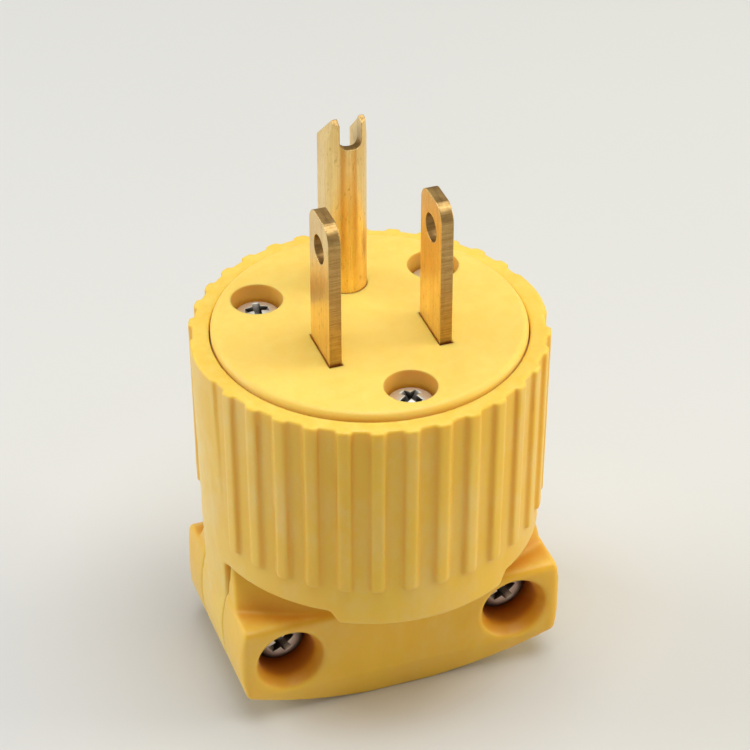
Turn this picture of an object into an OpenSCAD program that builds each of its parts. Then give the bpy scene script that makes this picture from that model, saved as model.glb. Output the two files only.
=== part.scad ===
// Rewireable three-prong mains plug with a ribbed shell and a two-bar cord clamp.
// Millimetres. Z runs up through the prongs, X from the neutral blade to the hot blade, and the
// ground pin lies toward positive Y. The origin is on the shell's axis, under the clamp bars.

/* [Prongs] */
// Distance between the two flat blades, middle to middle
blade_spacing = 12.7; // [12.5:0.1:12.9]
// Width of a flat blade
blade_width = 6.2; // [5.9:0.05:6.6]
// Thickness of a flat blade
blade_thick = 1.4; // [1.3:0.05:1.65]
// Length of a blade above the face
blade_length = 17.2; // [16.6:0.1:18.2]
// Height of a blade's rounded tip
blade_tip_height = 2; // [1.8:0.1:2.4]
// Width of the flat end of a blade's tip
blade_tip_flat = 2.9; // [2.6:0.1:3.4]
// Diameter of the hole near a blade tip
blade_hole = 3.3; // [3:0.1:3.6]
// Height of that hole above the face
blade_hole_height = 13.2; // [12:0.1:13.4]
// Distance from the blade line to the middle of the ground pin
pin_offset = 11.9; // [11.7:0.1:12.1]
// Width of the ground pin
pin_width = 4.8; // [4.6:0.05:5]
// Depth of the ground pin, front to back
pin_depth = 4.7; // [4.4:0.1:5]
// Thickness of the rolled sheet of the ground pin
pin_sheet = 1; // [0.8:0.05:1.1]
// Length of the ground pin above the face
pin_length = 22; // [20.6:0.1:22.4]
// Width of the notch in the ground pin's tip
pin_notch_width = 2.5; // [2.2:0.1:2.7]
// Depth of the notch in the ground pin's tip
pin_notch_depth = 3.4; // [2.6:0.1:4]

/* [Face] */
// Height of the face above the resting plane
face_height = 44.9; // [44:0.1:47]
// Diameter of the face disk
face_diameter = 35.2; // [34.8:0.1:35.6]
// Height of the face above the shell's rim
face_proud = 0.8; // [0.4:0.1:1.2]
// Thickness of the face disk
face_thick = 4.5; // [4.2:0.1:5]
// Rounding of the face disk's edge
face_round = 0.7; // [0.3:0.1:1]
// Shift of the blade line from the shell's axis
blade_shift = 3.85; // [3.6:0.05:4.1]
// Radius of the circle of face screws
face_screw_circle = 13.2; // [13:0.1:13.4]
// Diameter of a face screw recess
face_recess = 5.9; // [5.7:0.1:6.2]
// Depth of a face screw recess
face_recess_depth = 2.9; // [2.6:0.1:3.3]

/* [Shell] */
// Diameter over the ribs at the rim
rib_diameter = 40.2; // [39.9:0.1:40.5]
// Number of ribs
rib_count = 34; // [30:2:36]
// Height of a rib
rib_height = 0.5; // [0.4:0.05:0.6]
// Width of a rib
rib_width = 1.65; // [1.4:0.05:1.9]
// Turn of the ribs about the shell's axis
rib_turn = -1; // [-2:0.1:2]
// Draft of the ribbed wall over its height
rib_draft = 0.25; // [0.1:0.05:0.35]
// Height of the ribs' lower ends above the resting plane
rib_end_height = 22.2; // [20.8:0.1:24]
// Width at the rim of the smooth pads on the shell's sides
side_pad_width = 8.4; // [8.1:0.1:9]
// Height of the shell's floor, underside
floor_height = 18.6; // [18.2:0.1:19]
// Thickness of the shell's floor
floor_thick = 2.6; // [2.2:0.1:3]
// Radius of the wiring space
cavity_radius = 16.9; // [16.7:0.05:17]
// Drop of the front and rear lips below the floor
lip_drop = 1.5; // [1:0.1:2]
// Half the length of a lip
lip_half = 10.6; // [9.5:0.1:11]

/* [Cord clamp] */
// Length of a clamp bar
bar_length = 38.8; // [38.4:0.1:39.2]
// Distance over both clamp bars, front to back
bar_span = 23.4; // [23:0.1:24.4]
// Thickness of the neck's legs between the bars
leg_thick = 8; // [7.6:0.1:8.4]
// Height of the ledge on a bar
bar_top = 13.9; // [13.6:0.1:14.2]
// Height of the straight line where a bar's lower flank begins
bar_flank = 4.3; // [4:0.1:4.6]
// Inset of the lower flank at the resting plane
bar_flank_inset = 1.3; // [0.8:0.1:1.6]
// Rounding along the front bar's ledge and ends
bar_round = 1; // [0.6:0.1:1.3]
// Rounding along the rear bar's ledge and ends
rear_round = 3.2; // [2:0.1:3.4]
// Lean of the wall behind the ledge, inward per unit of height
hump_lean = 0.5; // [0.2:0.05:0.6]
// Radius of the bars' curved underside
belly_radius = 41; // [39.5:0.5:46]
// Diameter of the cord bore between the bars
cord_bore = 10; // [9:0.1:10.4]
// Distance between the two clamp screws
clamp_screw_spacing = 27.2; // [26.8:0.1:27.6]
// Height of the clamp screws
clamp_screw_height = 8.65; // [8.5:0.05:8.8]
// Diameter of a clamp screw recess at its mouth
clamp_recess = 8.2; // [7.8:0.1:8.4]
// Diameter of a clamp screw recess at its seat
clamp_seat = 6.6; // [6.2:0.1:6.8]
// Depth of a clamp screw recess
clamp_recess_depth = 5.3; // [4.9:0.1:5.6]
// Depth of the flared mouth of a clamp screw recess
clamp_flare = 1.6; // [1.2:0.1:2.2]

/* [Fits] */
// Play around a piece that is pushed into another
slide_gap = 0.15; // [0.1:0.05:0.2]
// Play around a screw in its thread
thread_gap = 0.05; // [0.04:0.01:0.08]
// Play around a screw in a through hole
through_gap = 0.2; // [0.15:0.05:0.25]
// Play around a screw head in its recess
head_gap = 0.3; // [0.2:0.05:0.35]

/* [Hidden] */
$fn = 96;
eps = 0.02;
over = 1;

yellow = [0.95, 0.78, 0.25];
brass = [0.78, 0.62, 0.32];
zinc = [0.8, 0.8, 0.82];
green = [0.2, 0.5, 0.3];
black = [0.12, 0.12, 0.13];

// levels
rim_height = face_height - face_proud;
carrier_low = face_height - face_thick;
retainer_thick = 2;
retainer_low = carrier_low - retainer_thick;
floor_top = floor_height + floor_thick;
terminal_drop = 5.9;
terminal_height = retainer_low - terminal_drop;
tail_end = 5;
tail_low = terminal_height - tail_end;
barrier_end = 0.4;
barrier_low = tail_low - barrier_end;

// face
blade_y = -blade_shift;
pin_y = blade_y + pin_offset;
carrier_radius = face_diameter / 2;
seat_radius = carrier_radius + slide_gap;
retainer_radius = cavity_radius - 2 * slide_gap;
face_screw_angles = [37.5, 142.5, 270];
slot_width = blade_width + 4 * slide_gap;
slot_thick = blade_thick + 1.5 * slide_gap;

// blades, tips and tails
tip_side = (blade_width - blade_tip_flat) / 2;
tip_radius = (pow(blade_tip_height, 2) + pow(tip_side, 2)) / (2 * tip_side);
shoulder_height = 1.7;
shoulder_step = 1.25;
shoulder_width = blade_width + 2 * shoulder_step;

// ground pin
pin_radius = pin_width / 2;
pin_leg = pin_depth - pin_radius;
pin_front = pin_y - pin_radius;
pin_gap = slide_gap / 2;
pin_tip_side = 0.6;
pin_tip_side_height = 3.6;
pin_tip_ridge = 1.3;
pin_tip_front = 0.6;
pin_tip_rear = 3.4;
notch_round = pin_notch_width / 3;
tab_thick = 1.2;
tab_step = 1.2;
tab_width = pin_width + 1.4;
tab_shoulder = tab_width + 2 * tab_step;

// face screws
face_screw_head = face_recess - 3 * head_gap;
face_head_height = 1.7;
face_screw_thread = 2.8;
face_screw_length = 12.5;
face_screw_turn = 30;
face_seat = face_height - face_recess_depth;
boss_radius = 3.3;
boss_web = 3;
boss_weld = 0.4;

// terminal screws and plates
terminal_thread = 3.5;
terminal_hole = terminal_thread + 2 * thread_gap;
terminal_head = 6.4;
terminal_head_height = 2;
terminal_reach = 1.5;
terminal_turn = 20;
plate_size = 7.2;
plate_thick = 1.2;

// barriers between the terminals
barrier_thick = 1.5;
barrier_gap = 0.9;
barrier_half = 10;
barrier_front = face_screw_circle - boss_radius - barrier_gap;
barrier_y = (blade_y + plate_size / 2 + pin_front - terminal_reach) / 2 - barrier_thick / 2;

// shell
wall_radius = rib_diameter / 2 - rib_height;
wall_low_radius = wall_radius - rib_draft;
wall_edge = 0.6;
rib_tilt = atan(rib_draft / (rim_height - rib_end_height));
rib_edge = rib_height * 0.75;
rib_corner = 0.5;
rib_root = rib_height + 0.6;
rib_gap = 0.8;
side_pad_bow = 15;
side_pad_draft = 0.9;
side_pad_flare = 0.5;
side_pad_clear = side_pad_width / 2 + rib_gap + rib_width / 2;
lip_thick = 2;
lip_ramp = 1.2;
lip_low = floor_height - lip_drop;
cord_passage = 13;
leg_inner = 8.1;

// clamp
bar_half = bar_length / 2;
bar_out = bar_span / 2;
bar_in = leg_thick / 2;
belly_flat = 0.25;
bulge_height = 9.2;
hump_top = floor_height - slide_gap;
hump_radius = 38;
hump_depth = bar_out + 0.3;
hump_half = bar_half - 0.8;
hump_taper = 0.1;
pad_half = leg_inner - 3 * slide_gap;
pad_reach = 1;
pad_low = 1.2;
bore_chamfer = 0.6;
clamp_x = clamp_screw_spacing / 2;
clamp_thread = 4;
clamp_head = clamp_seat - 2 * head_gap;
clamp_head_height = 1.8;
clamp_screw_turn = 35;
clamp_straight = clamp_recess_depth - clamp_flare;
nut_flats = 7;
nut_height = 3;
nut_sink = 3.7;
nut_clear = 0.3;
clamp_seat_y = -bar_out + clamp_recess_depth;
nut_seat_y = bar_out - nut_sink;
clamp_screw_length = nut_seat_y + nut_height - clamp_seat_y;

// recess of a cross-head screw, as shares of the head and of the recess
cross_share = 0.62;
cross_wide_share = 0.27;
cross_deep_share = 0.38;
cross_tip_share = 0.45;
dome_share = 0.85;

// tapered cross with its mouth at the given height
module cross_recess(top, long) {
    wide = long * cross_wide_share;
    deep = long * cross_deep_share;
    tip = long * cross_tip_share;
    slope = (long - tip) / deep;
    intersection() {
        union()
            for (a = [0, 90])
                rotate([0, 0, a])
                    translate([-long, -wide / 2, top - deep])
                        cube([2 * long, wide, deep + over]);
        translate([0, 0, top - deep])
            cylinder(h = deep + over, d1 = tip, d2 = tip + slope * (deep + over));
    }
}

// pan-head screw with its seat at z = 0 and its shank pointing down
module pan_screw(head, head_height, thread, length, turn) {
    dome = head * dome_share;
    difference() {
        union() {
            intersection() {
                cylinder(h = head_height, d = head);
                translate([0, 0, head_height - dome])
                    sphere(r = dome);
            }
            translate([0, 0, -length])
                cylinder(h = length + eps, d = thread);
        }
        rotate([0, 0, turn])
            cross_recess(head_height, head * cross_share);
    }
}

// flat blade standing on the face, drawn in the Y-Z plane and centred on x = 0
module blade_outline() {
    half = blade_width / 2;
    tip = face_height + blade_length;
    bend = tip - blade_tip_height;
    translate([-half, tail_low])
        square([blade_width, bend - tail_low]);
    // tip with an arc on each side of its flat end
    translate([tip_radius - half, bend - eps])
        square([blade_width - 2 * tip_radius, blade_tip_height + eps]);
    for (side = [-1, 1])
        intersection() {
            translate([side > 0 ? 0 : -half, bend - eps])
                square([half, blade_tip_height + eps]);
            translate([side * (half - tip_radius), bend])
                circle(r = tip_radius);
        }
    translate([-shoulder_width / 2, carrier_low])
        square([shoulder_width, shoulder_height]);
}

module blade(side) {
    translate([side * blade_spacing / 2, blade_y, 0])
        difference() {
            translate([-blade_thick / 2, 0, 0])
                rotate([90, 0, 90])
                    linear_extrude(height = blade_thick)
                        blade_outline();
            translate([0, 0, face_height + blade_hole_height])
                rotate([0, 90, 0])
                    cylinder(h = blade_thick + 2 * over, d = blade_hole, center = true);
            translate([0, 0, terminal_height])
                rotate([0, 90, 0])
                    cylinder(h = blade_thick + 2 * over, d = terminal_hole, center = true);
        }
}

// U section of the ground pin, open toward positive Y
module pin_section() {
    difference() {
        union() {
            circle(r = pin_radius);
            translate([-pin_radius, 0])
                square([pin_width, pin_leg]);
        }
        circle(r = pin_radius - pin_sheet);
        translate([-pin_radius + pin_sheet, 0])
            square([pin_width - 2 * pin_sheet, pin_leg + over]);
    }
}

// front view of the ground pin, its tip tapered at the sides
module pin_front_view(tip) {
    polygon([
        [-pin_radius, carrier_low], [pin_radius, carrier_low], [pin_radius, tip - pin_tip_side_height],
        [pin_radius - pin_tip_side, tip], [pin_tip_side - pin_radius, tip],
        [-pin_radius, tip - pin_tip_side_height]
    ]);
}

// side view of the ground pin, its tip a ridge that falls off to the rear
module pin_side_view(tip) {
    polygon([
        [-pin_radius, carrier_low], [pin_leg, carrier_low], [pin_leg, tip - pin_tip_rear],
        [pin_tip_ridge - pin_radius, tip], [-pin_radius, tip - pin_tip_front]
    ]);
}

// notch in the front of the tip, its lower corners rounded
module pin_notch(tip) {
    half = pin_notch_width / 2;
    low = tip - pin_notch_depth;
    translate([-half, low + notch_round])
        square([pin_notch_width, pin_notch_depth]);
    translate([-half + notch_round, low])
        square([pin_notch_width - 2 * notch_round, pin_notch_depth]);
    for (side = [-1, 1])
        translate([side * (half - notch_round), low + notch_round])
            circle(r = notch_round);
}

module ground_pin() {
    tip = face_height + pin_length;
    color(brass)
        translate([0, pin_y, 0])
            difference() {
                union() {
                    intersection() {
                        translate([0, 0, carrier_low])
                            linear_extrude(height = tip - carrier_low)
                                pin_section();
                        rotate([90, 0, 0])
                            linear_extrude(height = 2 * pin_depth, center = true)
                                pin_front_view(tip);
                        rotate([90, 0, 90])
                            linear_extrude(height = 2 * pin_width, center = true)
                                pin_side_view(tip);
                    }
                    translate([-tab_shoulder / 2, -pin_radius, carrier_low])
                        cube([tab_shoulder, tab_thick, shoulder_height]);
                    translate([-tab_width / 2, -pin_radius, tail_low])
                        cube([tab_width, tab_thick, carrier_low - tail_low + shoulder_height]);
                }
                rotate([90, 0, 0])
                    linear_extrude(height = pin_depth)
                        pin_notch(tip);
                translate([0, -pin_radius - over, terminal_height])
                    rotate([-90, 0, 0])
                        cylinder(h = tab_thick + 2 * over, d = terminal_hole);
            }
}

module hot_blade() {
    color(brass)
        blade(1);
}

module neutral_blade() {
    color(brass)
        blade(-1);
}

// pressure plate lying on z = 0, screw hole in its middle
module pressure_plate() {
    difference() {
        translate([-plate_size / 2, -plate_size / 2, 0])
            cube([plate_size, plate_size, plate_thick]);
        translate([0, 0, -over])
            cylinder(h = plate_thick + 2 * over, d = terminal_thread + 2 * through_gap);
    }
}

// terminal screw whose seat is the outer side of its pressure plate
module terminal_screw(under) {
    length = plate_thick + under + terminal_reach;
    translate([0, 0, plate_thick])
        pan_screw(terminal_head, terminal_head_height, terminal_thread, length, terminal_turn);
}

// places a terminal piece against the outer side of a blade's tail
module at_blade(side) {
    translate([side * (blade_spacing + blade_thick) / 2, blade_y, terminal_height])
        rotate([0, side * 90, 0])
            children();
}

// places a terminal piece against the rear side of the ground tab
module at_ground() {
    translate([0, pin_front + tab_thick, terminal_height])
        rotate([-90, 0, 0])
            children();
}

module hot_terminal_screw() {
    color(brass)
        at_blade(1)
            terminal_screw(blade_thick);
}

module neutral_terminal_screw() {
    color(zinc)
        at_blade(-1)
            terminal_screw(blade_thick);
}

module ground_terminal_screw() {
    color(green)
        at_ground()
            terminal_screw(tab_thick);
}

module hot_pressure_plate() {
    color(brass)
        at_blade(1)
            pressure_plate();
}

module neutral_pressure_plate() {
    color(brass)
        at_blade(-1)
            pressure_plate();
}

module ground_pressure_plate() {
    color(brass)
        at_ground()
            pressure_plate();
}

// runs its children at the three face screws
module at_face_screws() {
    for (a = face_screw_angles)
        rotate([0, 0, a])
            translate([face_screw_circle, 0, 0])
                children();
}

// opening for the ground pin in the face disk
module pin_opening() {
    translate([0, pin_y]) {
        circle(r = pin_radius + pin_gap);
        translate([-pin_radius - pin_gap, 0])
            square([pin_width + 2 * pin_gap, pin_leg + pin_gap]);
    }
}

module blade_carrier() {
    pocket = shoulder_height + over + slide_gap;
    color(yellow)
        difference() {
            rotate_extrude() {
                translate([0, carrier_low])
                    square([carrier_radius, face_thick - face_round]);
                translate([0, carrier_low])
                    square([carrier_radius - face_round, face_thick]);
                translate([carrier_radius - face_round, face_height - face_round])
                    circle(r = face_round);
            }
            for (side = [-1, 1])
                translate([side * blade_spacing / 2, blade_y, carrier_low - over]) {
                    translate([-slot_thick / 2, -slot_width / 2, 0])
                        cube([slot_thick, slot_width, face_thick + 2 * over]);
                    translate([-slot_thick / 2, -shoulder_width / 2 - slide_gap, 0])
                        cube([slot_thick, shoulder_width + 2 * slide_gap, pocket]);
                }
            translate([0, 0, carrier_low - over])
                linear_extrude(height = face_thick + 2 * over)
                    pin_opening();
            translate([-tab_shoulder / 2 - slide_gap, pin_front - slide_gap, carrier_low - over])
                cube([tab_shoulder + 2 * slide_gap, tab_thick + 2 * slide_gap, pocket]);
            at_face_screws() {
                translate([0, 0, face_seat])
                    cylinder(h = face_recess_depth + over, d = face_recess);
                translate([0, 0, carrier_low - over])
                    cylinder(h = face_thick + over, d = face_screw_thread + 2 * through_gap);
            }
        }
}

module terminal_retainer() {
    drop = retainer_low - barrier_low + eps;
    color(black)
        difference() {
            union() {
                translate([0, 0, retainer_low])
                    cylinder(h = retainer_thick, r = retainer_radius);
                // barriers between the three terminals
                translate([-barrier_thick / 2, -barrier_front, barrier_low])
                    cube([barrier_thick, barrier_front + barrier_y + eps, drop]);
                translate([-barrier_half, barrier_y, barrier_low])
                    cube([2 * barrier_half, barrier_thick, drop]);
            }
            for (side = [-1, 1])
                translate([side * blade_spacing / 2, blade_y, retainer_low + retainer_thick / 2])
                    cube([slot_thick, slot_width, retainer_thick + 2 * over], center = true);
            translate([-tab_width / 2 - slide_gap, pin_front - slide_gap, retainer_low - over])
                cube([tab_width + 2 * slide_gap, tab_thick + 2 * slide_gap, retainer_thick + 2 * over]);
            at_face_screws()
                translate([0, 0, retainer_low - over])
                    cylinder(h = retainer_thick + 2 * over, d = face_screw_thread + 2 * through_gap);
        }
}

module face_screws() {
    color(zinc)
        at_face_screws()
            translate([0, 0, face_seat])
                pan_screw(face_screw_head, face_head_height, face_screw_thread, face_screw_length,
                    face_screw_turn);
}

// cross-section of a rib, its crest at x = 0 with rounded edges
module rib_section() {
    half = rib_width / 2;
    translate([-rib_root, -half])
        square([rib_root - rib_edge, rib_width]);
    translate([-rib_root, rib_edge - half])
        square([rib_root, rib_width - 2 * rib_edge]);
    for (side = [-1, 1])
        translate([-rib_edge, side * (half - rib_edge)])
            circle(r = rib_edge);
}

// front view of a rib, its lower corners rounded
module rib_front(height) {
    half = rib_width / 2;
    translate([-half, rib_corner])
        square([rib_width, height]);
    translate([rib_corner - half, 0])
        square([rib_width - 2 * rib_corner, height]);
    for (side = [-1, 1])
        translate([side * (half - rib_corner), rib_corner])
            circle(r = rib_corner);
}

// one rib, its crest following the draft of the wall
module rib() {
    height = rim_height - rib_end_height + over;
    translate([rib_diameter / 2 - rib_draft, 0, rib_end_height])
        rotate([0, rib_tilt, 0])
            intersection() {
                linear_extrude(height = height)
                    rib_section();
                translate([-rib_root, 0, 0])
                    rotate([90, 0, 90])
                        linear_extrude(height = rib_root + over)
                            rib_front(height);
            }
}

// bowed outer faces that the side pads and the legs share
module side_crests() {
    for (side = [-1, 1])
        translate([side * (rib_diameter / 2 - side_pad_bow), 0, bulge_height])
            cylinder(h = rim_height - bulge_height, r1 = side_pad_bow - side_pad_draft,
                r2 = side_pad_bow);
}

// smooth pads at both sides of the wall, a little wider toward the floor
module side_pads() {
    half = side_pad_width / 2;
    intersection() {
        side_crests();
        rotate([90, 0, 90])
            linear_extrude(height = 2 * rib_diameter, center = true)
                polygon([
                    [-half - side_pad_flare, floor_height], [half + side_pad_flare, floor_height],
                    [half, rim_height], [-half, rim_height]
                ]);
    }
}

// wall and floor as one turned body, its lower edge rounded
module wall_profile() {
    polygon([
        [0, floor_height], [wall_low_radius - wall_edge, floor_height],
        [wall_low_radius, floor_height + wall_edge], [wall_radius, rim_height], [0, rim_height]
    ]);
    translate([wall_low_radius - wall_edge, floor_height + wall_edge])
        circle(r = wall_edge);
}

module shell_wall() {
    intersection() {
        union() {
            rotate_extrude()
                wall_profile();
            side_pads();
            // ribs all round, apart from the pads
            for (i = [0 : rib_count - 1]) {
                turn = rib_turn - 90 + (i + 0.5) * 360 / rib_count;
                if (abs(sin(turn)) * rib_diameter / 2 > side_pad_clear)
                    rotate([0, 0, turn])
                        rib();
            }
        }
        // levels the rim
        cylinder(h = rim_height, r = rib_diameter);
    }
}

// space above the curved underside of the clamp
module above_belly(length) {
    intersection() {
        translate([0, 0, belly_radius - belly_flat])
            rotate([90, 0, 0])
                cylinder(h = length, r = belly_radius, center = true, $fn = 192);
        translate([-bar_length, -length / 2, 0])
            cube([2 * bar_length, length, face_height]);
    }
}

// bulged ends that the bars and the legs share
module bulge(length) {
    translate([0, 0, bulge_height])
        rotate([90, 0, 0])
            cylinder(h = length, r = bar_half, center = true, $fn = 192);
}

module legs() {
    intersection() {
        union() {
            bulge(leg_thick);
            side_crests();
        }
        union()
            for (side = [-1, 1])
                translate([side > 0 ? leg_inner : -leg_inner - bar_length, -bar_in, 0])
                    cube([bar_length, leg_thick, floor_height + wall_edge]);
        above_belly(2 * leg_thick);
    }
}

// front view of a lip, its ends ramped
module lip_front() {
    high = floor_height + wall_edge;
    polygon([
        [lip_ramp - lip_half, lip_low - eps], [lip_half - lip_ramp, lip_low - eps],
        [lip_half, high], [-lip_half, high]
    ]);
}

module lips() {
    high = floor_height + wall_edge;
    inner = wall_low_radius - lip_thick;
    intersection() {
        rotate_extrude() {
            polygon([
                [inner, lip_low], [wall_low_radius - wall_edge, lip_low],
                [wall_low_radius, lip_low + wall_edge], [wall_low_radius, high], [inner, high]
            ]);
            translate([wall_low_radius - wall_edge, lip_low + wall_edge])
                circle(r = wall_edge);
        }
        rotate([90, 0, 0])
            linear_extrude(height = 2 * bar_length, center = true)
                lip_front();
    }
}

module bosses() {
    height = retainer_low - floor_top + eps;
    at_face_screws()
        translate([0, 0, floor_top - eps]) {
            cylinder(h = height, r = boss_radius);
            translate([0, -boss_web / 2, 0])
                cube([cavity_radius - face_screw_circle + boss_weld, boss_web, height]);
        }
}

module shell() {
    color(yellow)
        difference() {
            union() {
                difference() {
                    shell_wall();
                    translate([0, 0, floor_top])
                        cylinder(h = face_height, r = cavity_radius);
                    translate([0, 0, carrier_low])
                        cylinder(h = face_height, r = seat_radius);
                }
                bosses();
                legs();
                lips();
            }
            // cord passage
            translate([0, 0, floor_height - over])
                cylinder(h = floor_thick + 2 * over, d = cord_passage);
            at_face_screws()
                translate([0, 0, face_seat - face_screw_length - over])
                    cylinder(h = face_screw_length, d = face_screw_thread + 2 * thread_gap);
            for (side = [-1, 1])
                translate([side * clamp_x, 0, clamp_screw_height])
                    rotate([90, 0, 0])
                        cylinder(h = bar_span, d = clamp_thread + 2 * through_gap, center = true);
        }
}

// cross-section of the front bar in the Y-Z plane
module bar_section(edge) {
    polygon([
        [-bar_in, 0], [-bar_out + bar_flank_inset, 0], [-bar_out, bar_flank],
        [-bar_out, bar_top - edge], [-bar_out + edge, bar_top], [-bar_in, bar_top]
    ]);
    translate([-bar_out + edge, bar_top - edge])
        circle(r = edge);
}

// plan of the front bar, its outer corners rounded
module bar_plan(edge) {
    depth = bar_out - bar_in;
    translate([-bar_half, -bar_out + edge])
        square([bar_length, depth - edge]);
    translate([-bar_half + edge, -bar_out])
        square([bar_length - 2 * edge, depth]);
    for (side = [-1, 1])
        translate([side * (bar_half - edge), -bar_out + edge])
            circle(r = edge);
}

// part of the front bar that rises behind its ledge to the shell's floor
module bar_hump(edge) {
    low = bar_top - edge;
    rise = hump_top - low;
    foot = hump_radius + hump_lean * edge;
    half = hump_half + hump_taper * edge;
    intersection() {
        translate([0, hump_radius - hump_depth, low])
            cylinder(h = rise, r1 = foot, r2 = foot - hump_lean * rise, $fn = 192);
        translate([-bar_half, -bar_out, low])
            cube([bar_length, bar_out - bar_in, rise]);
        rotate([90, 0, 0])
            linear_extrude(height = bar_span)
                polygon([
                    [-half, low], [half, low],
                    [half - hump_taper * rise, hump_top], [hump_taper * rise - half, hump_top]
                ]);
    }
}

// front bar with its pad and half of the cord bore, before the screw holes
module bar_body(edge) {
    difference() {
        union() {
            intersection() {
                translate([-bar_length, 0, 0])
                    rotate([90, 0, 90])
                        linear_extrude(height = 2 * bar_length)
                            bar_section(edge);
                linear_extrude(height = face_height)
                    bar_plan(edge);
                bulge(2 * bar_span);
                above_belly(2 * bar_span);
            }
            bar_hump(edge);
            translate([-pad_half, -bar_in - eps, pad_low])
                cube([2 * pad_half, bar_in - pad_reach + eps, bar_top - pad_low]);
        }
        translate([0, 0, -over])
            cylinder(h = bar_top + 2 * over, d = cord_bore);
        translate([0, 0, bar_top])
            cylinder(h = floor_height, d = cord_passage);
        translate([0, 0, -eps])
            cylinder(h = bore_chamfer + eps, d1 = cord_bore + 2 * bore_chamfer, d2 = cord_bore);
        for (side = [-1, 1])
            translate([side * clamp_x, 0, clamp_screw_height])
                rotate([90, 0, 0])
                    cylinder(h = bar_span, d = clamp_thread + 2 * through_gap);
    }
}

module front_clamp_bar() {
    color(yellow)
        difference() {
            bar_body(bar_round);
            for (side = [-1, 1])
                translate([side * clamp_x, clamp_seat_y, clamp_screw_height])
                    rotate([90, 0, 0]) {
                        cylinder(h = clamp_recess_depth, d = clamp_seat);
                        translate([0, 0, clamp_straight])
                            cylinder(h = clamp_flare, d1 = clamp_seat, d2 = clamp_recess);
                        translate([0, 0, clamp_recess_depth - eps])
                            cylinder(h = over, d = clamp_recess);
                    }
        }
}

module rear_clamp_bar() {
    pocket = (nut_flats + nut_clear) / cos(30);
    color(yellow)
        difference() {
            mirror([0, 1, 0])
                bar_body(rear_round);
            for (side = [-1, 1])
                translate([side * clamp_x, nut_seat_y, clamp_screw_height])
                    rotate([-90, 0, 0])
                        cylinder(h = nut_sink + over, d = pocket, $fn = 6);
        }
}

module clamp_screws() {
    color(zinc)
        for (side = [-1, 1])
            translate([side * clamp_x, clamp_seat_y, clamp_screw_height])
                rotate([90, 0, 0])
                    pan_screw(clamp_head, clamp_head_height, clamp_thread, clamp_screw_length,
                        clamp_screw_turn);
}

module clamp_nuts() {
    color(zinc)
        for (side = [-1, 1])
            translate([side * clamp_x, nut_seat_y, clamp_screw_height])
                rotate([-90, 0, 0])
                    difference() {
                        cylinder(h = nut_height, d = nut_flats / cos(30), $fn = 6);
                        translate([0, 0, -over])
                            cylinder(h = nut_height + 2 * over, d = clamp_thread + 2 * thread_gap);
                    }
}

shell();
blade_carrier();
terminal_retainer();
hot_blade();
neutral_blade();
ground_pin();
hot_terminal_screw();
neutral_terminal_screw();
ground_terminal_screw();
hot_pressure_plate();
neutral_pressure_plate();
ground_pressure_plate();
face_screws();
front_clamp_bar();
rear_clamp_bar();
clamp_screws();
clamp_nuts();
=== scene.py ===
"""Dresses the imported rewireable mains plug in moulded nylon, rolled brass and plated screws.

It stands on a plain pale floor in soft studio light, seen from the photograph's viewing angle. The shell
and the clamp bars are shown by copies of their own solids with the edges eased, as mouldings have them."""
import math
from typing import NamedTuple

import bpy
from mathutils import Matrix, Vector


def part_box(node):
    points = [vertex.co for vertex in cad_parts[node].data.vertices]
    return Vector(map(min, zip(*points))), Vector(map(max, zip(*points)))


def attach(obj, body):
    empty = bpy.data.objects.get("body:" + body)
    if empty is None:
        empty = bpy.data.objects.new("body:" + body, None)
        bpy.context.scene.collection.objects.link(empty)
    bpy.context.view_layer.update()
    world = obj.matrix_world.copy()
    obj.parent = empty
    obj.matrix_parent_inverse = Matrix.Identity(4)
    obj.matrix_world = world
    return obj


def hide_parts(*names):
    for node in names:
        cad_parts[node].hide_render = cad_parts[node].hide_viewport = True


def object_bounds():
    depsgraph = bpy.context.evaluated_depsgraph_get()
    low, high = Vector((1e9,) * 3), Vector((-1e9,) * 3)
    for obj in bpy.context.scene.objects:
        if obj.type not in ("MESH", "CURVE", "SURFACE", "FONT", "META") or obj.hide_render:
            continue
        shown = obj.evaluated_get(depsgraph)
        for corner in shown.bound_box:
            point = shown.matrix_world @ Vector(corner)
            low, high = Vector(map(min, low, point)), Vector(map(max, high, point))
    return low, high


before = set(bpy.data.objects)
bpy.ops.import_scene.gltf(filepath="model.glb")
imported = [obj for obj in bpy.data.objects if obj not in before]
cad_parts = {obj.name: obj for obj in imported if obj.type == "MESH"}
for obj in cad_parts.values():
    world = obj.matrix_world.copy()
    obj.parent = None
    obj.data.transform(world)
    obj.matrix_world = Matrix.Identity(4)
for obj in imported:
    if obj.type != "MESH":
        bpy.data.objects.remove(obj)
cad_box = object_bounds()

# Camera, as fitted to the face circle, the rim and the blade slots. Lengths are in metres.
IMAGE = 750
FOCAL_PX = 2901
SENSOR_MM = 36
DISTANCE = 0.320
ELEVATION = math.radians(35.69)
TURN = math.radians(19.65)
FACE_AT_PX = (369.5, 319.8)
NEAR_CLIP = 0.01

# Floor and ambient light.
FLOOR_HALF = 1.5
FLOOR_GAP = 0.00002
AMBIENT = (1, 0.95, 0.87)
AMBIENT_STRENGTH = 0.3

# Eased mouldings: the size of a voxel, the share a point moves in a pass, and for each node the number
# of passes and the most triangles.
VOXEL = 0.0002
EASING = 0.5
MOULDINGS = {
    "shell": (4, 120000),
    "front_clamp_bar": (16, 40000),
    "rear_clamp_bar": (16, 40000),
}

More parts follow.
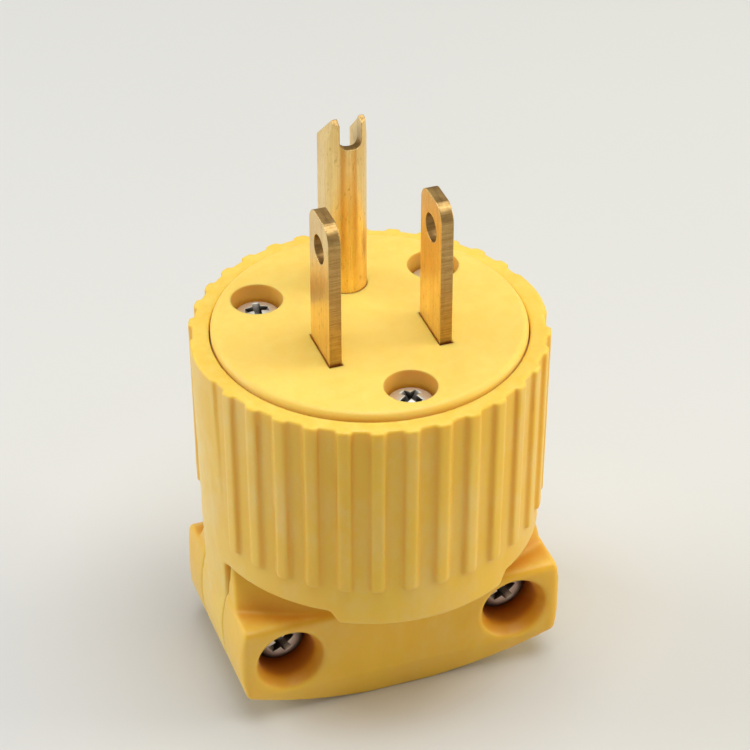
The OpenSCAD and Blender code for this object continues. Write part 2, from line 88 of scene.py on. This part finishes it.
# Metal and floor colours, linear.
BRASS = (0.95, 0.70, 0.29)
BRASS_DULL = (0.74, 0.46, 0.15)
BRASS_CUT = (0.40, 0.24, 0.085)
BRASS_STAIN = (0.34, 0.19, 0.055)
# Painted shade for brass hollows.
BRASS_HOLLOW = (0.15, 0.085, 0.03)
ZINC = (0.86, 0.87, 0.83)
ZINC_DULL = (0.72, 0.73, 0.67)
ZINC_SUNK = (0.92, 0.90, 0.84)
ZINC_SUNK_DULL = (0.84, 0.81, 0.74)
# Painted shade for screw and plate hollows, and beside other pieces.
SCREW_HOLLOW = (0.035, 0.03, 0.026)
GREEN = (0.03, 0.16, 0.06)
GREEN_DULL = (0.02, 0.09, 0.04)
FLOOR = (0.68, 0.68, 0.67)
FLOOR_SOFT = (0.64, 0.64, 0.63)

# Radius of the edges of metal pieces, in metres.
BRASS_EDGE = 0.00018
PLATED_EDGE = 0.00015


class Lamp(NamedTuple):
    """A rectangular softbox that faces the middle of the part, with its power in watts."""

    name: str
    place: tuple
    size: tuple
    power: float
    color: tuple


LAMPS = (
    Lamp("top_softbox", place=(0.05, -0.05, 0.62), size=(0.45, 0.45), power=2.6, color=(0.97, 1, 1.02)),
    Lamp("right_softbox", place=(0.55, -0.12, 0.25), size=(0.35, 0.4), power=2.0, color=(1, 0.92, 0.7)),
    Lamp("left_softbox", place=(-0.5, 0.28, 0.26), size=(0.4, 0.4), power=2.0, color=(0.96, 0.99, 1)),
)


class Nylon(NamedTuple):
    """A moulded nylon: linear colours, among them painted sheen, painted light and painted shade, the
    radius of its edges, and how much light goes into it.
    """

    name: str
    base: tuple
    deep: tuple
    # Paler colour for rubbed edges, and on level faces painted light from above.
    worn: tuple
    # Pale haze: partly a mould bloom, partly painted sheen on upright walls.
    haze: tuple
    # These three colours are painted shade: in creases, in recesses, and at the bottom of deep recesses.
    crease: tuple
    hollow: tuple
    pit: tuple
    edge: float
    glow: float


SHELL_NYLON = Nylon(
    "yellow_nylon_moulded",
    base=(0.90, 0.59, 0.062),
    deep=(0.85, 0.50, 0.038),
    worn=(0.94, 0.70, 0.18),
    haze=(0.85, 0.65, 0.28),
    crease=(0.84, 0.45, 0.025),
    hollow=(0.72, 0.27, 0.006),
    pit=(0.40, 0.065, 0.002),
    edge=0.0003,
    glow=0.4,
)
# The bars' nylon is the shell's made deeper and more orange, painted shade on the low clamp bars, with a
# darker painted shade in its creases.
BAR_NYLON = SHELL_NYLON._replace(
    name="bar_nylon_moulded",
    base=(0.87, 0.54, 0.045),
    deep=(0.80, 0.45, 0.028),
    haze=(0.85, 0.58, 0.15),
    crease=(0.70, 0.25, 0.004),
)
# The face's nylon is the shell's made paler, as painted light on the upward face, with milder painted
# shade in its creases, hollows and pits.
FACE_NYLON = SHELL_NYLON._replace(
    name="face_nylon_moulded",
    base=(0.93, 0.63, 0.12),
    deep=(0.89, 0.57, 0.09),
    crease=(0.89, 0.57, 0.09),
    hollow=(0.80, 0.45, 0.06),
    pit=(0.70, 0.36, 0.04),
    edge=0.0004,
)
BLACK_NYLON = Nylon(
    "black_nylon_moulded",
    base=(0.018, 0.018, 0.02),
    deep=(0.035, 0.034, 0.033),
    worn=(0.035, 0.034, 0.033),
    haze=(0.045, 0.044, 0.043),
    crease=(0.008, 0.008, 0.009),
    hollow=(0.008, 0.008, 0.009),
    pit=(0.008, 0.008, 0.009),
    edge=0.0002,
    glow=0.0,
)


class Surface:
    """A node material under construction, with its Principled shader as .shader."""

    def __init__(self, name):
        self.material = bpy.data.materials.new(name)
        self.material.use_nodes = True
        self.tree = self.material.node_tree
        self.tree.nodes.clear()
        self.shader = self.add("ShaderNodeBsdfPrincipled")
        output = self.add("ShaderNodeOutputMaterial")
        self.link(self.shader.outputs["BSDF"], output.inputs["Surface"])
        self.place = self.add("ShaderNodeTexCoord").outputs["Object"]

    def add(self, kind, **values):
        node = self.tree.nodes.new(kind)
        for key, value in values.items():
            setattr(node, key, value)
        return node

    def link(self, source, target):
        self.tree.links.new(source, target)

    def set(self, **values):
        """Sets constants on the shader's own sockets."""
        for key, value in values.items():
            self.shader.inputs[key.replace("_", " ")].default_value = value

    def feed(self, socket, value):
        """Links a node's output to a socket, or sets a plain number or colour on it."""
        if isinstance(value, tuple):
            socket.default_value = (*value, 1)
        elif isinstance(value, (int, float)):
            socket.default_value = value
        else:
            self.link(value, socket)

    def noise(self, scale, detail=3, rough=0.55, stretch=None):
        """Noise over the piece, or over its coordinates times stretch."""
        vector = self.place
        if stretch:
            mapping = self.add("ShaderNodeMapping")
            mapping.inputs["Scale"].default_value = stretch
            self.link(self.place, mapping.inputs["Vector"])
            vector = mapping.outputs["Vector"]
        node = self.add("ShaderNodeTexNoise")
        node.inputs["Scale"].default_value = scale
        node.inputs["Detail"].default_value = detail
        node.inputs["Roughness"].default_value = rough
        self.link(vector, node.inputs["Vector"])
        return node.outputs["Fac"]

    def ramp(self, value, low, high, out_low=0.0, out_high=1.0):
        """Runs from out_low to out_high as the value goes from low to high, and stays within them."""
        node = self.add("ShaderNodeMapRange")
        node.inputs["From Min"].default_value = low
        node.inputs["From Max"].default_value = high
        node.inputs["To Min"].default_value = out_low
        node.inputs["To Max"].default_value = out_high
        self.link(value, node.inputs["Value"])
        return node.outputs["Result"]

    def math(self, kind, first, second=0.0):
        node = self.add("ShaderNodeMath", operation=kind)
        self.feed(node.inputs[0], first)
        self.feed(node.inputs[1], second)
        return node.outputs["Value"]

    def blend(self, factor, under, over):
        node = self.add("ShaderNodeMix", data_type="RGBA")
        self.link(factor, node.inputs["Factor"])
        self.feed(node.inputs["A"], under)
        self.feed(node.inputs["B"], over)
        return node.outputs["Result"]

    def soft_edges(self, radius):
        """A normal rounded over the edges, and a mask of where it departs from the face."""
        bevel = self.add("ShaderNodeBevel", samples=6)
        bevel.inputs["Radius"].default_value = radius
        geometry = self.add("ShaderNodeNewGeometry")
        dot = self.add("ShaderNodeVectorMath", operation="DOT_PRODUCT")
        self.link(bevel.outputs["Normal"], dot.inputs[0])
        self.link(geometry.outputs["Normal"], dot.inputs[1])
        return bevel.outputs["Normal"], self.ramp(dot.outputs["Value"], low=0.99, high=0.75)

    def hollows(self, reach, open_sky, closed_sky, alone=True):
        """A mask of recesses and gaps for painted shade, from how much of a point's surroundings its own
        piece fills.

        With alone False the other pieces count too."""
        node = self.add("ShaderNodeAmbientOcclusion", samples=8, only_local=alone)
        node.inputs["Distance"].default_value = reach
        return self.ramp(node.outputs["AO"], open_sky, closed_sky)

    def share(self, vector, axis):
        split = self.add("ShaderNodeSeparateXYZ")
        self.link(vector, split.inputs["Vector"])
        return split.outputs[axis]

    def facing(self, axis):
        """How squarely the surface faces along an axis, either way."""
        normal = self.add("ShaderNodeTexCoord").outputs["Normal"]
        return self.math("ABSOLUTE", self.share(normal, axis))

    def bump(self, height, distance, strength, normal=None):
        node = self.add("ShaderNodeBump")
        node.inputs["Strength"].default_value = strength
        node.inputs["Distance"].default_value = distance
        self.link(height, node.inputs["Height"])
        if normal:
            self.link(normal, node.inputs["Normal"])
        return node.outputs["Normal"]

    def finish(self, color, roughness, normal):
        self.link(color, self.shader.inputs["Base Color"])
        self.link(roughness, self.shader.inputs["Roughness"])
        self.link(normal, self.shader.inputs["Normal"])
        return self.material


def nylon_walls(s, nylon, level):
    """Flow mottling and specks, under a patchy pale haze on upright walls, partly a mould bloom and partly
    painted sheen, with more painted sheen at the -X end.
    """
    flow = s.ramp(s.noise(scale=90, detail=4, rough=0.6, stretch=(1, 1, 0.35)), low=0.3, high=0.75)
    specks = s.ramp(s.noise(scale=1900, detail=2), low=0.62, high=0.75, out_high=0.25)
    patches = s.noise(scale=170, detail=6, rough=0.72, stretch=(1, 1, 0.6))
    # Painted sheen: the walls grow paler towards the -X end, where the left lamp grazes them.
    far_end = s.ramp(s.share(s.place, "X"), low=-0.008, high=-0.02, out_high=0.22)
    hazy = s.math("ADD", s.ramp(patches, low=0.46, high=0.72, out_high=0.5), far_end)
    hazy = s.math("MULTIPLY", hazy, s.ramp(level, low=0.6, high=0.2))
    color = s.blend(flow, nylon.base, nylon.deep)
    color = s.blend(specks, color, nylon.deep)
    return s.blend(hazy, color, nylon.haze)


def nylon_wear(s, nylon, color, level, rim):
    """Edges rubbed paler, and level faces painted paler as painted light from above, in patches."""
    # The edges are real wear; the level faces are painted light from the lamp above.
    rubbed = s.math("MAXIMUM", rim, s.ramp(level, low=0.7, high=0.95, out_high=0.75))
    patches = s.ramp(s.noise(scale=700), low=0.35, high=0.7, out_low=0.3, out_high=0.8)
    return s.blend(s.math("MULTIPLY", rubbed, patches), color, nylon.worn)


def nylon_recesses(s, nylon, color):
    """Painted shade: a richer, darker colour in creases and recesses, darkest at the bottom of the deep
    ones.
    """
    # Painted shade in creases, then in recesses, then darkest at the bottom of deep recesses.
    color = s.blend(s.hollows(reach=0.004, open_sky=0.97, closed_sky=0.78), color, nylon.crease)
    color = s.blend(s.hollows(reach=0.009, open_sky=0.86, closed_sky=0.42), color, nylon.hollow)
    return s.blend(s.hollows(reach=0.009, open_sky=0.38, closed_sky=0.14), color, nylon.pit)


def moulded(nylon):
    """Moulded nylon with a spark-eroded grain, hazy walls with painted sheen, rubbed edges, level faces
    painted paler as painted light, and painted shade in creases and recesses.
    """
    s = Surface(nylon.name)
    s.set(Subsurface_Weight=nylon.glow, Subsurface_Radius=(1.0, 0.42, 0.12), Subsurface_Scale=0.002)
    s.set(IOR=1.45, Sheen_Weight=0.12, Sheen_Roughness=0.35)
    level = s.facing("Z")
    normal, rim = s.soft_edges(nylon.edge)
    color = nylon_walls(s, nylon, level)
    color = nylon_wear(s, nylon, color, level, rim)
    color = nylon_recesses(s, nylon, color)
    grain = s.noise(scale=5200, detail=2)
    cloudy = s.ramp(s.noise(scale=420), low=0.3, high=0.7, out_low=0.36, out_high=0.5)
    grainy = s.ramp(grain, low=0.3, high=0.7, out_low=-0.04, out_high=0.04)
    normal = s.bump(s.noise(scale=260, detail=2), distance=0.00006, strength=0.35, normal=normal)
    normal = s.bump(grain, distance=0.00002, strength=0.4, normal=normal)
    return s.finish(color, s.math("ADD", cloudy, grainy), normal)


def rolled(name, axis, low, high):
    """Rolled brass strip with drawn streaks, a brownish tarnish, pits, darker sheared edges, and painted
    shade in its hollows.

    The sheared edges are where the normal's share along the axis runs from low to high."""
    s = Surface(name)
    s.set(Metallic=1.0, Anisotropic=0.3)
    normal, rim = s.soft_edges(BRASS_EDGE)
    streaks = s.noise(scale=1, detail=4, rough=0.6, stretch=(4200, 4200, 90))
    stains = s.noise(scale=210, detail=5, rough=0.65, stretch=(1, 1, 0.5))
    bands = s.noise(scale=1, rough=0.5, stretch=(950, 950, 45))
    pits = s.noise(scale=2300, detail=4, rough=0.7, stretch=(1, 1, 0.45))
    pits = s.ramp(pits, low=0.57, high=0.75, out_high=0.6)
    scores = s.noise(scale=1, detail=4, rough=0.65, stretch=(500, 500, 6500))
    sheared = s.ramp(s.facing(axis), low, high)
    torn = s.math("MULTIPLY", sheared, s.ramp(scores, low=0.3, high=0.65, out_low=0.6))
    color = s.blend(s.ramp(stains, low=0.45, high=0.75, out_high=0.7), BRASS, BRASS_DULL)
    color = s.blend(s.ramp(streaks, low=0.45, high=0.75, out_high=0.45), color, BRASS_DULL)
    color = s.blend(s.ramp(bands, low=0.5, high=0.7, out_high=0.55), color, BRASS_DULL)
    color = s.blend(torn, color, BRASS_CUT)
    color = s.blend(s.math("MULTIPLY", rim, 0.5), color, BRASS)
    color = s.blend(pits, color, BRASS_STAIN)
    # Painted shade in hollows.
    color = s.blend(s.hollows(reach=0.003, open_sky=0.86, closed_sky=0.42), color, BRASS_HOLLOW)
    roughness = s.ramp(streaks, low=0.3, high=0.7, out_low=0.24, out_high=0.4)
    roughness = s.math("ADD", roughness, s.math("MULTIPLY", torn, 0.18))
    roughness = s.math("ADD", roughness, s.math("MULTIPLY", pits, 0.25))
    normal = s.bump(streaks, distance=0.00002, strength=0.35, normal=normal)
    normal = s.bump(s.math("MULTIPLY", scores, sheared), distance=0.00002, strength=0.2, normal=normal)
    normal = s.bump(s.noise(scale=600), distance=0.00005, strength=0.35, normal=normal)
    return s.finish(color, roughness, normal)


def plated(name, base, dull, metallic=1.0, grime=False):
    """Plating or stamped brass: cloudy, bright on the edges, with painted shade in the hollows.

    When asked, it also has painted shade where other pieces stand close by."""
    s = Surface(name)
    s.set(Metallic=metallic)
    normal, rim = s.soft_edges(PLATED_EDGE)
    cloud = s.ramp(s.noise(scale=800, detail=4), low=0.35, high=0.7)
    fine = s.noise(scale=6000, detail=2)
    color = s.blend(cloud, base, dull)
    color = s.blend(s.math("MULTIPLY", rim, 0.6), color, base)
    # Painted shade in the piece's own hollows, such as the cross recess.
    color = s.blend(s.hollows(reach=0.0015, open_sky=0.86, closed_sky=0.42), color, SCREW_HOLLOW)
    if grime:
        # Painted shade where other pieces stand close, as in the clamp bar's recesses.
        dirt = s.hollows(reach=0.004, open_sky=0.5, closed_sky=0.32, alone=False)
        color = s.blend(dirt, color, SCREW_HOLLOW)
    cloudy = s.ramp(cloud, low=0.0, high=1.0, out_low=0.36, out_high=0.5)
    grainy = s.ramp(fine, low=0.3, high=0.7, out_low=-0.03, out_high=0.05)
    normal = s.bump(fine, distance=0.00001, strength=0.3, normal=normal)
    return s.finish(color, s.math("ADD", cloudy, grainy), normal)


def floor_surface():
    """A matt, pale, faintly uneven floor that no lamp glares on."""
    s = Surface("floor")
    s.set(Specular_IOR_Level=0.0)
    color = s.blend(s.noise(scale=6), FLOOR, FLOOR_SOFT)
    roughness = s.ramp(s.noise(scale=20, detail=2), low=0.3, high=0.7, out_low=0.75, out_high=0.85)
    normal = s.bump(s.noise(scale=900, detail=2), distance=0.00005, strength=0.1)
    return s.finish(color, roughness, normal)


def place_in_scene(name, data):
    """Makes an object of a mesh, a lamp or a camera, and puts it in the scene."""
    made = bpy.data.objects.new(name, data)
    bpy.context.scene.collection.objects.link(made)
    return made


def apply_modifiers(piece):
    """Leaves the piece with the mesh that its modifiers make, and none of them."""
    evaluated = piece.evaluated_get(bpy.context.evaluated_depsgraph_get())
    made = bpy.data.meshes.new_from_object(evaluated)
    piece.modifiers.clear()
    piece.data = made


def eased_moulding(name, passes, most):
    """Stands in for a moulded node: the same solid with its edges eased, as the moulding's are."""
    piece = place_in_scene(name + "_moulding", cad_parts[name].data.copy())
    remesh = piece.modifiers.new("remesh", "REMESH")
    remesh.mode = "VOXEL"
    remesh.voxel_size = VOXEL
    remesh.use_smooth_shade = True
    ease = piece.modifiers.new("ease", "SMOOTH")
    ease.factor = EASING
    ease.iterations = passes
    apply_modifiers(piece)
    triangles = sum(len(face.vertices) - 2 for face in piece.data.polygons)
    thin = piece.modifiers.new("thin", "DECIMATE")
    thin.ratio = min(1.0, most / triangles)
    apply_modifiers(piece)
    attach(piece, "root")
    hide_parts(name)
    return piece


def make_looks():
    """The material of each node, by the node's name."""
    bar = moulded(BAR_NYLON)
    blade = rolled("blade_brass", axis="X", low=0.75, high=0.35)
    plate = plated("plate_brass_stamped", BRASS, BRASS_DULL)
    zinc = plated("zinc_plating", ZINC, ZINC_DULL, metallic=0.8)
    return {
        "shell": moulded(SHELL_NYLON),
        "front_clamp_bar": bar,
        "rear_clamp_bar": bar,
        "blade_carrier": moulded(FACE_NYLON),
        "terminal_retainer": moulded(BLACK_NYLON),
        "hot_blade": blade,
        "neutral_blade": blade,
        "ground_pin": rolled("pin_brass", axis="Z", low=0.35, high=0.75),
        "hot_pressure_plate": plate,
        "neutral_pressure_plate": plate,
        "ground_pressure_plate": plate,
        "hot_terminal_screw": plate,
        "neutral_terminal_screw": zinc,
        "ground_terminal_screw": plated("green_plating", GREEN, GREEN_DULL, metallic=0.6),
        "face_screws": zinc,
        "clamp_screws": plated("sunk_zinc_plating", ZINC_SUNK, ZINC_SUNK_DULL, metallic=0.45, grime=True),
        "clamp_nuts": zinc,
    }


def dress():
    looks = make_looks()
    for name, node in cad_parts.items():
        for slot in node.material_slots:
            slot.material = looks[name]
    for name, (passes, most) in MOULDINGS.items():
        mesh = eased_moulding(name, passes, most).data
        mesh.materials.clear()
        mesh.materials.append(looks[name])


def make_camera():
    along = math.cos(ELEVATION)
    forward = Vector((math.sin(TURN) * along, math.cos(TURN) * along, -math.sin(ELEVATION)))
    right = Vector((math.cos(TURN), -math.sin(TURN), 0))
    up = right.cross(forward)
    face_centre = Vector((0, 0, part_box("blade_carrier")[1].z))
    aside = (FACE_AT_PX[0] - IMAGE / 2) / FOCAL_PX * DISTANCE
    above = (IMAGE / 2 - FACE_AT_PX[1]) / FOCAL_PX * DISTANCE
    place = face_centre - forward * DISTANCE - right * aside - up * above
    turn = Matrix((right, up, -forward)).transposed().to_4x4()
    data = bpy.data.cameras.new("camera")
    data.sensor_width = SENSOR_MM
    data.lens = FOCAL_PX / IMAGE * SENSOR_MM
    data.clip_start = NEAR_CLIP
    camera = place_in_scene("camera", data)
    camera.matrix_world = Matrix.Translation(place) @ turn
    bpy.context.scene.camera = camera


def make_floor():
    low = -FLOOR_HALF
    high = FLOOR_HALF
    level = cad_box[0].z - FLOOR_GAP
    corners = [(low, low, level), (high, low, level), (high, high, level), (low, high, level)]
    mesh = bpy.data.meshes.new("floor")
    mesh.from_pydata(corners, [], [(0, 1, 2, 3)])
    floor = place_in_scene("floor", mesh)
    mesh.materials.append(floor_surface())


def make_lamp(lamp, target):
    data = bpy.data.lights.new(lamp.name, "AREA")
    data.color = lamp.color
    data.shape = "RECTANGLE"
    data.size, data.size_y = lamp.size
    data.energy = lamp.power
    light = place_in_scene(lamp.name, data)
    place = Vector(lamp.place)
    turn = (target - place).to_track_quat("-Z", "Y").to_matrix().to_4x4()
    light.matrix_world = Matrix.Translation(place) @ turn


def light_the_scene():
    middle = (cad_box[0] + cad_box[1]) / 2
    for lamp in LAMPS:
        make_lamp(lamp, middle)
    world = bpy.data.worlds.new("studio")
    world.use_nodes = True
    background = world.node_tree.nodes["Background"]
    background.inputs["Strength"].default_value = AMBIENT_STRENGTH
    background.inputs["Color"].default_value = (*AMBIENT, 1)
    bpy.context.scene.world = world
    bpy.context.scene.view_settings.view_transform = "Standard"


make_camera()
make_floor()
light_the_scene()
dress()
